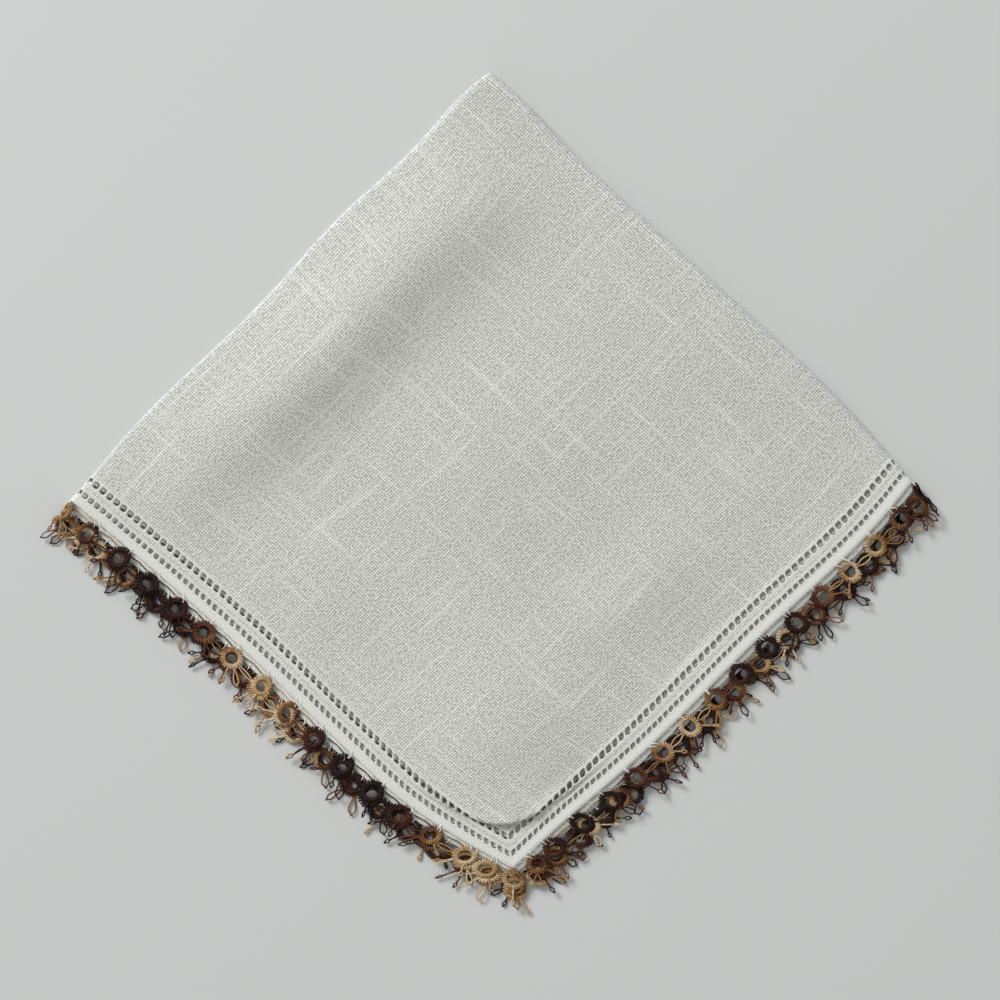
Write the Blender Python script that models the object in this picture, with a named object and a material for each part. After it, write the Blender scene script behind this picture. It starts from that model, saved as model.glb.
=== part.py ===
"""A square linen handkerchief with a tatted lace edging, folded in quarters.

The cloth is folded in half along its first middle line, and then in half along
the other, with the second half turned under. That gives four layers on each
other: two soft folds meet at one corner, the four hems lie on the other two
sides, and the four corners of the cloth lie together at the tip. The lace is
one band that goes all round the hem, so it folds with the cloth.

Both solids are made the same way: their shape is laid out on the open cloth,
and the function `folded` says where each point of the open cloth lies once it
is folded. Lengths in this file are millimetres until the meshes are made.

Run it with: blender --background --python part.py
"""
import math

import bmesh
import bpy
import numpy as np

MM = 0.001                    # one millimetre in Blender's metres

# The open cloth, measured from its middle
HALF_SIDE = 147.0             # middle of the cloth to the hem
CLOTH = 1.0                   # thickness of one layer of cloth or lace
LAYER_GAP = 0.35              # least space between two layers
LACE_GAP = 0.36               # space between the hem and the lace

# The tatted edging
RINGS_PER_SIDE = 32           # scallops along one side of the cloth
SCALLOP = (                   # one scallop of the lace
    # share of its length, depth of the lace there
    (0.00, 5.4),
    (0.35, 8.8),
    (0.65, 8.8),
)

# Corners of the folded cloth, seen from above: +Y is towards the folded corner
FOLDED_CORNER = (0.5, 105.1)
LEFT_CORNER = (-104.5, -2.0)
RIGHT_CORNER = (105.8, 2.7)
TIP = (6.0, -94.2)

# How far each side bows outwards from a straight line
FIRST_FOLD_BOW = (
    # share of the way from the folded corner to the left corner, bow
    (0.00, 0.0), (0.06, 0.9), (0.20, 0.3), (0.34, 1.5), (0.54, 0.5), (0.84, 1.7), (1.00, 0.0),
)
SECOND_FOLD_BOW = (
    # share of the way from the folded corner to the right corner, bow
    (0.00, 0.0), (0.06, 0.5), (0.18, -0.1), (0.50, 1.2), (0.84, 2.0), (1.00, 0.0),
)
LEFT_HEM_BOW = (
    # share of the way from the left corner to the tip, bow
    (0.00, 0.0), (0.20, 0.3), (0.39, 1.1), (0.65, 3.8), (0.78, 4.6), (0.90, 2.7), (1.00, 0.0),
)
RIGHT_HEM_BOW = (
    # share of the way from the right corner to the tip, bow
    (0.00, 0.0), (0.07, 1.3), (0.40, 1.5), (0.70, 1.9), (0.90, 0.4), (1.00, 0.0),
)

# The layers aren't folded quite edge to edge: each hem lies further out
LAYER_SHIFT = (
    # layer from the top, shift at the left hem, shift at the right hem
    (1, 0.0, 0.0),
    (2, 1.2, 1.6),
    (3, 2.3, 2.5),
    (4, 1.5, 1.1),
)

# Soft hollow spaces that lift the layers above them
FOLD_ROLLS = (
    # the fold, its width as a share of the side, extra height
    ("first", 0.10, 0.5),
    ("second", 0.09, 0.9),
)
PUFFS = (
    # share towards left, share towards right, half-widths of the puff, height
    (0.45, 0.17, 0.40, 0.12, 1.3),
    (0.10, 0.62, 0.08, 0.34, 0.7),
    (0.80, 0.78, 0.12, 0.13, 1.5),
    (0.46, 0.80, 0.14, 0.08, 0.8),
    (0.84, 0.38, 0.09, 0.16, 0.6),
)
HEM_START = 0.90              # share of the side where the puffs have gone down

# Steps of the meshes
FOLD_STEPS = 8                # round each fold
FLAT_STEPS = 15               # from a fold to a hem
NORMAL_STEP = 0.02            # half the distance used to find a surface's normal

HALF_PITCH = (CLOTH + LAYER_GAP) / 2
FIRST_ARC = math.pi / 2 * (HALF_PITCH + FOLD_ROLLS[0][2] / 2)
SECOND_ARC = math.pi / 2 * (2 * HALF_PITCH + FOLD_ROLLS[1][2] / 2)

MATERIALS = {
    # name: base colour, roughness
    "undyed_linen": ((0.80, 0.80, 0.76), 0.85),
    "brown_cotton_thread": ((0.16, 0.06, 0.03), 0.70),
}


def clear_scene():
    """Remove every object that the file opened with."""
    for thing in list(bpy.data.objects):
        bpy.data.objects.remove(thing, do_unlink=True)


def make_material(name):
    """Return a Principled material from the table of materials."""
    colour, roughness = MATERIALS[name]
    material = bpy.data.materials.new(name)
    material.use_nodes = True
    shader = material.node_tree.nodes["Principled BSDF"]
    shader.inputs["Base Color"].default_value = (*colour, 1.0)
    shader.inputs["Roughness"].default_value = roughness
    shader.inputs["Metallic"].default_value = 0.0
    return material


def ease(value):
    """Go smoothly from 0 to 1 as the value does."""
    value = np.clip(value, 0.0, 1.0)
    return value * value * (3 - 2 * value)


def smooth_rows(rows, share):
    """Read a table of (share, amount) rows as one smooth curve."""
    x, y = np.array(rows).T
    slope = np.gradient(y, x)
    share = np.clip(share, 0.0, 1.0)
    row = np.clip(np.searchsorted(x, share) - 1, 0, len(x) - 2)
    width = x[row + 1] - x[row]
    t = (share - x[row]) / width
    rise = ease(t) * (y[row + 1] - y[row])
    bend = t * (1 - t) * width * ((1 - t) * slope[row] - t * slope[row + 1])
    return y[row] + rise + bend


def side_point(start, end, bow_rows, share, outward):
    """Return the point at a share of one side, with its bow."""
    start, end = np.array(start), np.array(end)
    along = end - start
    normal = np.array([-along[1], along[0]]) / np.linalg.norm(along) * outward
    bow = smooth_rows(bow_rows, share)
    return start + share[..., None] * along + bow[..., None] * normal


def on_outline(left, right):
    """Place shares of the two sides inside the uneven outline of the packet."""
    first = side_point(FOLDED_CORNER, LEFT_CORNER, FIRST_FOLD_BOW, left, -1)
    second = side_point(FOLDED_CORNER, RIGHT_CORNER, SECOND_FOLD_BOW, right, 1)
    left_hem = side_point(LEFT_CORNER, TIP, LEFT_HEM_BOW, right, -1)
    right_hem = side_point(RIGHT_CORNER, TIP, RIGHT_HEM_BOW, left, 1)
    u, v = left[..., None], right[..., None]
    corners = ((1 - u) * (1 - v) * np.array(FOLDED_CORNER) + u * (1 - v) * np.array(LEFT_CORNER)
               + (1 - u) * v * np.array(RIGHT_CORNER) + u * v * np.array(TIP))
    return (1 - v) * first + v * right_hem + (1 - u) * second + u * left_hem - corners


def puff_height(left, right):
    """Height of the hollow under the top layer, gone at the hems and the folds."""
    height = np.zeros_like(left)
    for at_left, at_right, wide_left, wide_right, top in PUFFS:
        spread = ((left - at_left) / wide_left) ** 2 + ((right - at_right) / wide_right) ** 2
        height += top * np.exp(-spread)
    rest = (1 - HEM_START)
    down = ease((1 - left) / rest) * ease((1 - right) / rest)
    return height * down * ease(left / 0.2)


def roll_height(fold, share):
    """Extra height that a soft fold leaves beside it."""
    name, width, height = FOLD_ROLLS[fold]
    return height * np.exp(-(share / width) ** 2)


def layer_shift(column, second_level, first_level):
    """Blend the shifts of the four layers by the levels of the two folds."""
    by_layer = {row[0]: row[column] for row in LAYER_SHIFT}
    upper = by_layer[1] * (1 + first_level) / 2 + by_layer[2] * (1 - first_level) / 2
    lower = by_layer[4] * (1 + first_level) / 2 + by_layer[3] * (1 - first_level) / 2
    return upper * (1 + second_level) / 2 + lower * (1 - second_level) / 2


def fold_over(along, arc):
    """Say how far a point is past a fold's arc, and its angle round the fold."""
    angle = np.clip((arc - along) / (2 * arc), 0.0, 1.0) * math.pi
    past = np.maximum(np.abs(along) - arc, 0.0)
    return past, angle


def folded(p, q):
    """Place points of the open cloth on the middle surface of the folded one.

    p is the distance from the second fold and q from the first one, with signs.
    The first fold turns the half with q below 0 under the other. The second
    turns both layers of the half with p below 0 under the rest.
    """
    left = np.clip(np.abs(p) / HALF_SIDE, 0.0, 1.0)
    right = np.clip(np.abs(q) / HALF_SIDE, 0.0, 1.0)
    past_second, second_angle = fold_over(p, SECOND_ARC)
    past_first, first_angle = fold_over(q, FIRST_ARC)
    second_level, first_level = np.cos(second_angle), np.cos(first_angle)

    low_pair = HALF_PITCH + roll_height(0, right) / 2
    pair = low_pair + puff_height(left, right) * (1 + second_level) / 4
    stack = (low_pair + pair) / 2 + HALF_PITCH + roll_height(1, left) / 2
    middle = CLOTH / 2 + stack + low_pair
    radius = stack + first_level * pair

    first_reach = HALF_PITCH + FOLD_ROLLS[0][2] / 2 + CLOTH / 2
    second_reach = 3 * HALF_PITCH + FOLD_ROLLS[0][2] / 2 + FOLD_ROLLS[1][2] / 2 + CLOTH / 2
    from_first = past_first + first_reach - pair * np.sin(first_angle)
    from_second = past_second + second_reach - radius * np.sin(second_angle)
    from_second += layer_shift(1, second_level, first_level) * left
    from_first += layer_shift(2, second_level, first_level) * right

    flat = on_outline(from_second / HALF_SIDE, from_first / HALF_SIDE)
    return np.dstack([flat, middle + second_level * radius])


def surface_normal(p, q):
    """Return the normal of the folded surface at points of the open cloth."""
    along_p = folded(p + NORMAL_STEP, q) - folded(p - NORMAL_STEP, q)
    along_q = folded(p, q + NORMAL_STEP) - folded(p, q - NORMAL_STEP)
    normal = np.cross(along_p, along_q)
    return normal / np.linalg.norm(normal, axis=2, keepdims=True)


def thick_grid(p, q):
    """Return the two faces of the folded sheet over a grid of the open cloth."""
    middle, normal = folded(p, q), surface_normal(p, q)
    return middle + normal * CLOTH / 2, middle - normal * CLOTH / 2


def fold_samples(arc, flats):
    """Positions across the open cloth, close together round the fold."""
    turn = np.linspace(-arc, arc, FOLD_STEPS + 1)
    flat = np.linspace(arc, HALF_SIDE, flats + 1)[1:]
    return np.concatenate([-flat[::-1], turn, flat])


def mesh_object(name, points, faces, material):
    """Make one closed mesh object from points in millimetres."""
    shell = bmesh.new()
    verts = [shell.verts.new(tuple(point * MM)) for point in points]
    for face in faces:
        shell.faces.new([verts[i] for i in face])
    bmesh.ops.recalc_face_normals(shell, faces=shell.faces[:])
    bmesh.ops.triangulate(shell, faces=shell.faces[:])
    mesh = bpy.data.meshes.new(name)
    shell.to_mesh(mesh)
    shell.free()
    thing = bpy.data.objects.new(name, mesh)
    bpy.context.scene.collection.objects.link(thing)
    mesh.materials.append(make_material(material))
    mesh.shade_smooth()
    mesh.set_sharp_from_angle(angle=math.radians(50))
    return thing


def linen_cloth():
    """The four layers of cloth as one solid that goes back and forth."""
    across_p = fold_samples(SECOND_ARC, FLAT_STEPS)
    across_q = fold_samples(FIRST_ARC, FLAT_STEPS)
    p, q = np.meshgrid(across_p, across_q, indexing="ij")
    top, bottom = thick_grid(p, q)
    rows, columns = p.shape
    count = rows * columns
    points = np.vstack([top.reshape(-1, 3), bottom.reshape(-1, 3)])

    faces = []
    for i in range(rows - 1):
        for j in range(columns - 1):
            a, b = i * columns + j, (i + 1) * columns + j
            faces.append((a, b, b + 1, a + 1))
            faces.append((count + a, count + a + 1, count + b + 1, count + b))
    rim = list(range(columns))
    rim += [i * columns + columns - 1 for i in range(1, rows)]
    rim += [(rows - 1) * columns + j for j in range(columns - 2, -1, -1)]
    rim += [i * columns for i in range(rows - 2, 0, -1)]
    for here, after in zip(rim, rim[1:] + rim[:1]):
        faces.append((here, after, count + after, count + here))
    return mesh_object("linen_cloth", points, faces, "undyed_linen")


def side_samples(arc):
    """Positions along one side of the lace, with its depth at each."""
    pitch = 2 * HALF_SIDE / RINGS_PER_SIDE
    rows = [(-HALF_SIDE + (ring + share) * pitch, depth)
            for ring in range(RINGS_PER_SIDE) for share, depth in SCALLOP]
    rows = [row for row in rows if abs(row[0]) > arc * 1.2]
    rows += [(at, SCALLOP[0][1]) for at in np.linspace(-arc, arc, FOLD_STEPS + 1)]
    return sorted(rows)


def tatted_edging():
    """The lace as one closed band round the hem, with a scalloped outer edge."""
    inner = HALF_SIDE + LACE_GAP
    inside, outside = [], []
    sides = (
        # direction along the side, direction outwards, arc of the fold it crosses
        ((1, 0), (0, -1), SECOND_ARC),
        ((0, 1), (1, 0), FIRST_ARC),
        ((-1, 0), (0, 1), SECOND_ARC),
        ((0, -1), (-1, 0), FIRST_ARC),
    )
    for along, outwards, arc in sides:
        along, outwards = np.array(along), np.array(outwards)
        for at, depth in side_samples(arc):
            corner = max(abs(at) - HALF_SIDE + depth, 0.0) if abs(at) == HALF_SIDE else 0.0
            reach = math.copysign(corner, at)
            inside.append(along * at * inner / HALF_SIDE + outwards * inner)
            outside.append(along * (at + reach) + outwards * (inner + depth))
    ring = np.array([inside, outside])
    top, bottom = thick_grid(ring[..., 0], ring[..., 1])

    count = len(inside)
    points = np.vstack([top[0], top[1], bottom[1], bottom[0]])
    faces = []
    for i in range(count):
        after = (i + 1) % count
        for band in range(4):
            low, high = band * count, (band + 1) % 4 * count
            faces.append((low + i, low + after, high + after, high + i))
    return mesh_object("tatted_edging", points, faces, "brown_cotton_thread")


def main():
    """Build the two sub-parts of the folded handkerchief."""
    clear_scene()
    linen_cloth()
    tatted_edging()


main()
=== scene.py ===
"""Looks of a folded linen handkerchief with a tatted edging.

The open cloth is laid out flat first, with the middle of the cloth at 0, 0. One
rule, `folded`, then says where each point of the open cloth lies once it is
folded in quarters, and every piece is carried by it: the plain field, the
hemstitched border, the tatting and the sewing threads. Lengths in the tables
and in the making are millimetres; the properties are in Blender's metres.
"""
import math

import bpy
import numpy as np
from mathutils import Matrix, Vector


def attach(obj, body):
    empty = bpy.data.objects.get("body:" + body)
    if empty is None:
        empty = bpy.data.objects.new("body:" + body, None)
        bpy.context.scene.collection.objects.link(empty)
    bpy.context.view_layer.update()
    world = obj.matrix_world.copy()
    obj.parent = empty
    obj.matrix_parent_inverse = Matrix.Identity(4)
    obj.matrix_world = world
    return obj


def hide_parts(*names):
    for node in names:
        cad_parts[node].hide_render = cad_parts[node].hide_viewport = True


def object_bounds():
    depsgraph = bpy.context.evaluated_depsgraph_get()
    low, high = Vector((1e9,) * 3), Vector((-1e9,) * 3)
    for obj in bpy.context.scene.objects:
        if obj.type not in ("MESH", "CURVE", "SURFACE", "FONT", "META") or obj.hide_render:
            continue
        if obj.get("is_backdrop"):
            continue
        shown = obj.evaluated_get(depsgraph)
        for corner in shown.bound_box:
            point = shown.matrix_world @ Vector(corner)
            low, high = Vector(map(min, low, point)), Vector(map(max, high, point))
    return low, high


bl_info = {
    "name": "Folded Handkerchief Looks",
    "version": (1, 0, 0),
    "blender": (4, 5, 0),
    "location": "3D View > Sidebar > Handkerchief",
    "description": "Makes the cloth, lace and stage of a folded linen handkerchief",
    "category": "Object",
}

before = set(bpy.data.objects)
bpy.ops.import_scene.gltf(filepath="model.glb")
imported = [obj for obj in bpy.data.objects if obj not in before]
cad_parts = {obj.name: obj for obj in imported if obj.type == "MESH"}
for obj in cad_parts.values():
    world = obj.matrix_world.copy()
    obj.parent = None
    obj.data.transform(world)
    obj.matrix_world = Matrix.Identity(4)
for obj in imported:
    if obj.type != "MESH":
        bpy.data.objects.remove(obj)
CAD_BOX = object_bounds()
MM = 0.001

# ---- folded outline

# Corners of the folded cloth seen from above, +Y towards the folded corner
FOLDED_CORNER = (0.5, 105.1)
LEFT_CORNER = (-104.5, -2.0)
RIGHT_CORNER = (105.8, 2.7)
TIP = (6.0, -94.2)

# How far each side bows outwards: share of the way along it, bow
FIRST_FOLD_BOW = (
    (0.00, 0.0), (0.06, 0.9), (0.20, 0.3), (0.34, 1.5), (0.54, 0.5), (0.84, 1.7), (1.00, 0.0),
)
SECOND_FOLD_BOW = (
    (0.00, 0.0), (0.06, 0.5), (0.18, -0.1), (0.50, 1.2), (0.84, 2.0), (1.00, 0.0),
)
LEFT_HEM_BOW = (
    (0.00, 0.0), (0.20, 0.3), (0.39, 1.1), (0.65, 3.8), (0.78, 4.6), (0.90, 2.7), (1.00, 0.0),
)
RIGHT_HEM_BOW = (
    (0.00, 0.0), (0.07, 1.3), (0.40, 1.5), (0.70, 1.9), (0.90, 0.4), (1.00, 0.0),
)

# Layer from the top, how far its hem lies out at the left hem and at the right hem
LAYER_SHIFT = (
    (1, 0.0, 0.0),
    (2, 1.2, 1.6),
    (3, 2.3, 2.5),
    (4, 1.5, 1.1),
)

# Soft hollows under the upper layers: share towards left, share towards right,
# half-widths of the hollow in the same shares, height
PUFFS = (
    (0.48, 0.13, 0.42, 0.09, 4.4),
    (0.07, 0.62, 0.07, 0.34, 1.6),
    (0.80, 0.78, 0.14, 0.14, 2.0),
    (0.46, 0.80, 0.16, 0.08, 1.2),
    (0.84, 0.42, 0.08, 0.18, 1.1),
    (0.45, 0.45, 0.20, 0.16, 0.9),
)
PUFFS_DOWN = 0.90             # share of the side where the hollows start to go down

FIRST_ROLL = (0.10, 0.5)      # soft roll beside the first fold: width as a share, height
SECOND_ROLL = (0.09, 0.9)     # the same beside the second fold

# The ridge above the tip: it runs round the corner, and leans out over its own foot
BROW_ROUND = 7.0              # how round it goes about the corner
BROW_HALF_LENGTH = 11.0       # how far it reaches to each side of the tip
BROW_START = (2.7, 1.5)       # distance in where it begins, and over which it rises
BROW_FADE = (4.2, 15.0)       # distance in where it begins to fade, and how slowly
BROW_HEIGHT = 0.9
BROW_LEAN = 1.1

HEM_RISE = 0.28               # how much higher the thick rolled hems lift the cloth
HEM_RISES_FROM = (0.93, 0.04)

# ---- the open border

# Lines of the rolled hem: distance in from its edge, how much thicker it is there
HEM_LINES = (
    (0.00, 0.05), (0.18, 0.22), (0.95, 0.26), (1.85, 0.15),
)
BETWEEN_LINES = ((4.25, 0.08), (4.85, 0.01), (5.40, 0.08))   # between the rows of holes
FIELD_EDGE = 8.6              # where the hemstitched border meets the plain field

# Hemstitched holes: depth of a hole's cell, length of the hole, its width
OUTER_HOLE = (1.7, 1.36, 1.22)
INNER_HOLE = (2.1, 1.62, 1.52)
HOLE_SWELLS = (0.10, 0.12, -0.02)   # thicker at the cell's edge, half-way and at the hole
HOLE_SQUARENESS = 3.2
CELL_SEGMENTS = 3             # points along each side of one hole's cell
BEND_STEPS = 12               # lines of the field round each fold
FLAT_STEPS = 92               # lines of the field from a fold to its edge
NORMAL_STEP = 0.02

# ---- the tatting

# Shades of the thread, which come round again along it: share of the round, colour
THREAD_SHADES = (
    (0.00, "#D9C4A2"),
    (0.08, "#C3A070"),
    (0.16, "#93683A"),
    (0.26, "#4E2419"),
    (0.38, "#26100C"),
    (0.60, "#200B09"),
    (0.72, "#3B1712"),
    (0.82, "#6E3F26"),
    (0.91, "#B48B5C"),
    (1.00, "#D9C4A2"),
)
LIGHTEST_AT = (               # distances round the hem where the thread is lightest
    -4.0, 66.5, 141.0, 206.5, 270.5,
)
SHADE_ROUND = 67.0            # distance round the hem in which its shades come round
RING_SHIFTS = (0.3, -0.9, 4.4, -4.6)   # how far the rings are moved along each side
CORNER_GAP = 4.9              # from a corner of the cloth to the first ring beside it
SECOND_GAP = 11.2             # and to the second one
CORNER_OFFSET = 2.1           # how far out and beyond the corner its own ring lies
CLOSEST_JOIN = 0.4            # rings closer than this have no joined picots between them

DROOP = 0.30                  # share of its height that the lace droops at its outer edge
DROOPS_OVER = 6.0             # distance out over which it droops
LIES_AT = 0.45                # height at which the lace lies on the floor
LOWEST = 0.03

# Long twisted picots that stand out: side, distance along it, turn from straight
# out in degrees, length
LONG_PICOTS = (
    (1, -1.5, 10.0, 7.6),
    (0, 1.0, -35.0, 7.4),
    (0, 88.0, 12.0, 6.5),
)
PICOT_TURNS = (-52.0, -18.0, 24.0, 50.0)   # where a ring's free picots can stand


# ---- sizes and colours

def linear(code):
    """Turn an sRGB hex colour into linear values with full alpha."""
    channels = [int(code[i:i + 2], 16) / 255 for i in (1, 3, 5)]
    return tuple(c / 12.92 if c <= 0.04045 else ((c + 0.055) / 1.055) ** 2.4
                 for c in channels) + (1.0,)


def size_property(name, description, millimetres):
    """Make a length property from its size in millimetres."""
    return bpy.props.FloatProperty(
        name=name, description=description, default=millimetres * MM,
        unit="LENGTH", subtype="DISTANCE")


class HandkerchiefCloth(bpy.types.PropertyGroup):
    """Sizes of the linen and of how it is folded."""

    half_side: size_property(
        "Half side", "From the middle of the open cloth to its hem", 147.0)
    thickness: size_property(
        "Thickness", "Thickness of the plain linen", 0.30)
    thread_pitch: size_property(
        "Thread pitch", "From one thread of the weave to the next", 0.60)
    pitch_at_folds: size_property(
        "Layers at the folds", "From one layer to the next near the folds", 1.35)
    pitch_at_hems: size_property(
        "Layers at the hems", "From one layer to the next near the hems", 0.74)
    outer_row: size_property(
        "Outer row of holes", "From the hem's edge to the middle of the outer holes", 3.1)
    inner_row: size_property(
        "Inner row of holes", "From the hem's edge to the middle of the inner holes", 6.8)
    outer_pitch: size_property(
        "Outer hole pitch", "From one hole of the outer row to the next", 1.97)
    inner_pitch: size_property(
        "Inner hole pitch", "From one hole of the inner row to the next", 2.22)


class HandkerchiefLace(bpy.types.PropertyGroup):
    """Sizes of the tatted edging."""

    ring_radius: size_property(
        "Ring radius", "From a ring's middle to the outside of its stitches", 3.0)
    hole_radius: size_property(
        "Ring hole radius", "From a ring's middle to the inside of its stitches", 1.35)
    thread: size_property(
        "Thread", "Diameter of the tatting thread", 0.38)
    stitches: bpy.props.IntProperty(
        name="Stitches", description="Ridges that the double stitches make round one ring",
        default=25, min=12, max=40)
    rings_per_side: bpy.props.IntProperty(
        name="Rings per side", description="Rings along one side of the cloth, corners apart",
        default=31, min=8, max=60)
    ring_offset: size_property(
        "Ring offset", "From the hem's edge to the middle of a ring", 3.35)
    picot_length: size_property(
        "Picot length", "Length of a free picot, from the ring to its end", 4.3)


class HandkerchiefColours(bpy.types.PropertyGroup):
    """Colours of the cloth and of the stage, from their sRGB codes."""

    linen: bpy.props.FloatVectorProperty(
        name="Linen", description="Colour of the linen threads", subtype="COLOR", size=3,
        default=linear("#E7E7E1")[:3], min=0.0, max=1.0)
    floor: bpy.props.FloatVectorProperty(
        name="Floor", description="Colour of the pale floor", subtype="COLOR", size=3,
        default=linear("#C9CBCA")[:3], min=0.0, max=1.0)


# ---- the folding rule

def ease(value):
    """Go smoothly from 0 to 1 as the value does."""
    value = np.clip(value, 0.0, 1.0)
    return value * value * (3 - 2 * value)


def smooth_rows(rows, share):
    """Read a table of (share, amount) rows as one smooth curve."""
    x, y = np.array(rows).T
    slope = np.gradient(y, x)
    share = np.clip(share, 0.0, 1.0)
    row = np.clip(np.searchsorted(x, share) - 1, 0, len(x) - 2)
    width = x[row + 1] - x[row]
    t = (share - x[row]) / width
    rise = ease(t) * (y[row + 1] - y[row])
    bend = t * (1 - t) * width * ((1 - t) * slope[row] - t * slope[row + 1])
    return y[row] + rise + bend


def side_point(start, end, bow_rows, share, outward):
    """Return the point at a share of one side, with its bow."""
    start, end = np.array(start), np.array(end)
    along = end - start
    normal = np.array([-along[1], along[0]]) / np.linalg.norm(along) * outward
    bow = smooth_rows(bow_rows, share)
    return start + share[..., None] * along + bow[..., None] * normal


def on_outline(left, right):
    """Place shares of the two sides inside the uneven outline of the packet."""
    first = side_point(FOLDED_CORNER, LEFT_CORNER, FIRST_FOLD_BOW, left, -1)
    second = side_point(FOLDED_CORNER, RIGHT_CORNER, SECOND_FOLD_BOW, right, 1)
    left_hem = side_point(LEFT_CORNER, TIP, LEFT_HEM_BOW, right, -1)
    right_hem = side_point(RIGHT_CORNER, TIP, RIGHT_HEM_BOW, left, 1)
    u, v = left[..., None], right[..., None]
    corners = ((1 - u) * (1 - v) * np.array(FOLDED_CORNER) + u * (1 - v) * np.array(LEFT_CORNER)
               + (1 - u) * v * np.array(RIGHT_CORNER) + u * v * np.array(TIP))
    return (1 - v) * first + v * right_hem + (1 - u) * second + u * left_hem - corners


def bumps(table, left, right):
    """Add up soft bumps: their middles, half-widths and heights are the table's rows."""
    height = np.zeros_like(left)
    for at_left, at_right, wide_left, wide_right, top in table:
        spread = ((left - at_left) / wide_left) ** 2 + ((right - at_right) / wide_right) ** 2
        height += top * np.exp(-spread)
    return height


def layer_shift(column, second_level, first_level):
    """Blend the shifts of the four layers by the levels of the two folds."""
    by_layer = {row[0]: row[column] for row in LAYER_SHIFT}
    upper = by_layer[1] * (1 + first_level) / 2 + by_layer[2] * (1 - first_level) / 2
    lower = by_layer[4] * (1 + first_level) / 2 + by_layer[3] * (1 - first_level) / 2
    return upper * (1 + second_level) / 2 + lower * (1 - second_level) / 2


def fold_over(along, arc):
    """Say how far a point is past a fold's arc, and its angle round the fold."""
    angle = np.clip((arc - along) / (2 * arc), 0.0, 1.0) * math.pi
    past = np.maximum(np.abs(along) - arc, 0.0)
    return past, angle


def fold_arcs(cloth):
    """Half the length of cloth that goes round the first and the second fold."""
    half_pitch = cloth.pitch_at_folds / MM / 2
    first = math.pi / 2 * (half_pitch + FIRST_ROLL[1] / 2)
    second = math.pi / 2 * (2 * half_pitch + SECOND_ROLL[1] / 2)
    return first, second


def folded(cloth, p, q):
    """Place points of the open cloth on the middle surface of the folded one.

    p is the distance from the second fold and q from the first one, with signs.
    The first fold turns the half with q below 0 under the other. The second
    turns both layers of the half with p below 0 under the rest.
    """
    half_side = cloth.half_side / MM
    first_arc, second_arc = fold_arcs(cloth)
    left = np.clip(np.abs(p) / half_side, 0.0, 1.0)
    right = np.clip(np.abs(q) / half_side, 0.0, 1.0)
    past_second, second_angle = fold_over(p, second_arc)
    past_first, first_angle = fold_over(q, first_arc)
    second_level, first_level = np.cos(second_angle), np.cos(first_angle)
    on_top = (1 + second_level) * (1 + first_level) / 4

    # the layers lie closer towards the hems, and the hems themselves are thicker
    to_hem = 1 - (1 - ease((left - 0.45) / 0.5)) * (1 - ease((right - 0.45) / 0.5))
    half_pitch = (cloth.pitch_at_folds * (1 - to_hem) + cloth.pitch_at_hems * to_hem) / MM / 2
    under = cloth.thickness / MM / 2 + HEM_RISE * ease(
        (np.maximum(left, right) - HEM_RISES_FROM[0]) / HEM_RISES_FROM[1])

    # the ridge runs where the nearer hem is a set distance off, rounded at the corner
    from_left_hem, from_right_hem = half_side - np.abs(p), half_side - np.abs(q)
    apart = (from_left_hem - from_right_hem) / 2
    nearest = (from_left_hem + from_right_hem) / 2 - np.sqrt(apart ** 2 + BROW_ROUND ** 2)
    brow = np.exp(-(apart / BROW_HALF_LENGTH) ** 2) * on_top
    brow = brow * ease((nearest - BROW_START[0]) / BROW_START[1])
    brow = brow * np.exp(-np.maximum(nearest - BROW_FADE[0], 0) / BROW_FADE[1])

    low_pair = half_pitch + FIRST_ROLL[1] / 2 * np.exp(-(right / FIRST_ROLL[0]) ** 2)
    down = ease((1 - left) / (1 - PUFFS_DOWN)) * ease((1 - right) / (1 - PUFFS_DOWN))
    puffs = bumps(PUFFS, left, right) * down * ease(left / 0.2)
    pair = low_pair + puffs * (1 + second_level) / 4 + BROW_HEIGHT * brow
    roll = SECOND_ROLL[1] / 2 * np.exp(-(left / SECOND_ROLL[0]) ** 2)
    stack = (low_pair + pair) / 2 + half_pitch + roll
    radius = stack + first_level * pair

    out_first = pair + cloth.thickness / MM / 2
    out_second = stack + pair + cloth.thickness / MM / 2
    from_first = past_first * (half_side - out_first) / (half_side - first_arc)
    from_first += out_first - pair * np.sin(first_angle)
    from_second = past_second * (half_side - out_second) / (half_side - second_arc)
    from_second += out_second - radius * np.sin(second_angle)
    from_second += layer_shift(1, second_level, first_level) * left + BROW_LEAN * brow
    from_first += layer_shift(2, second_level, first_level) * right + BROW_LEAN * brow

    flat = on_outline(from_second / half_side, from_first / half_side)
    height = under + stack + low_pair + second_level * radius
    return np.concatenate([flat, height[..., None]], axis=-1)


def surface_normal(cloth, p, q):
    """Return the normal of the folded surface at points of the open cloth."""
    along_p = folded(cloth, p + NORMAL_STEP, q) - folded(cloth, p - NORMAL_STEP, q)
    along_q = folded(cloth, p, q + NORMAL_STEP) - folded(cloth, p, q - NORMAL_STEP)
    normal = np.cross(along_p, along_q)
    return normal / np.linalg.norm(normal, axis=-1, keepdims=True)


# ---- meshes

def mesh_piece(name, points, faces, material):
    """Make a mesh object from points in millimetres and lists of corners."""
    mesh = bpy.data.meshes.new(name)
    mesh.from_pydata([tuple(point) for point in np.asarray(points) * MM], [], faces)
    mesh.update()
    piece = bpy.data.objects.new(name, mesh)
    bpy.context.scene.collection.objects.link(piece)
    mesh.materials.append(material)
    mesh.shade_smooth()
    return piece


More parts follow.
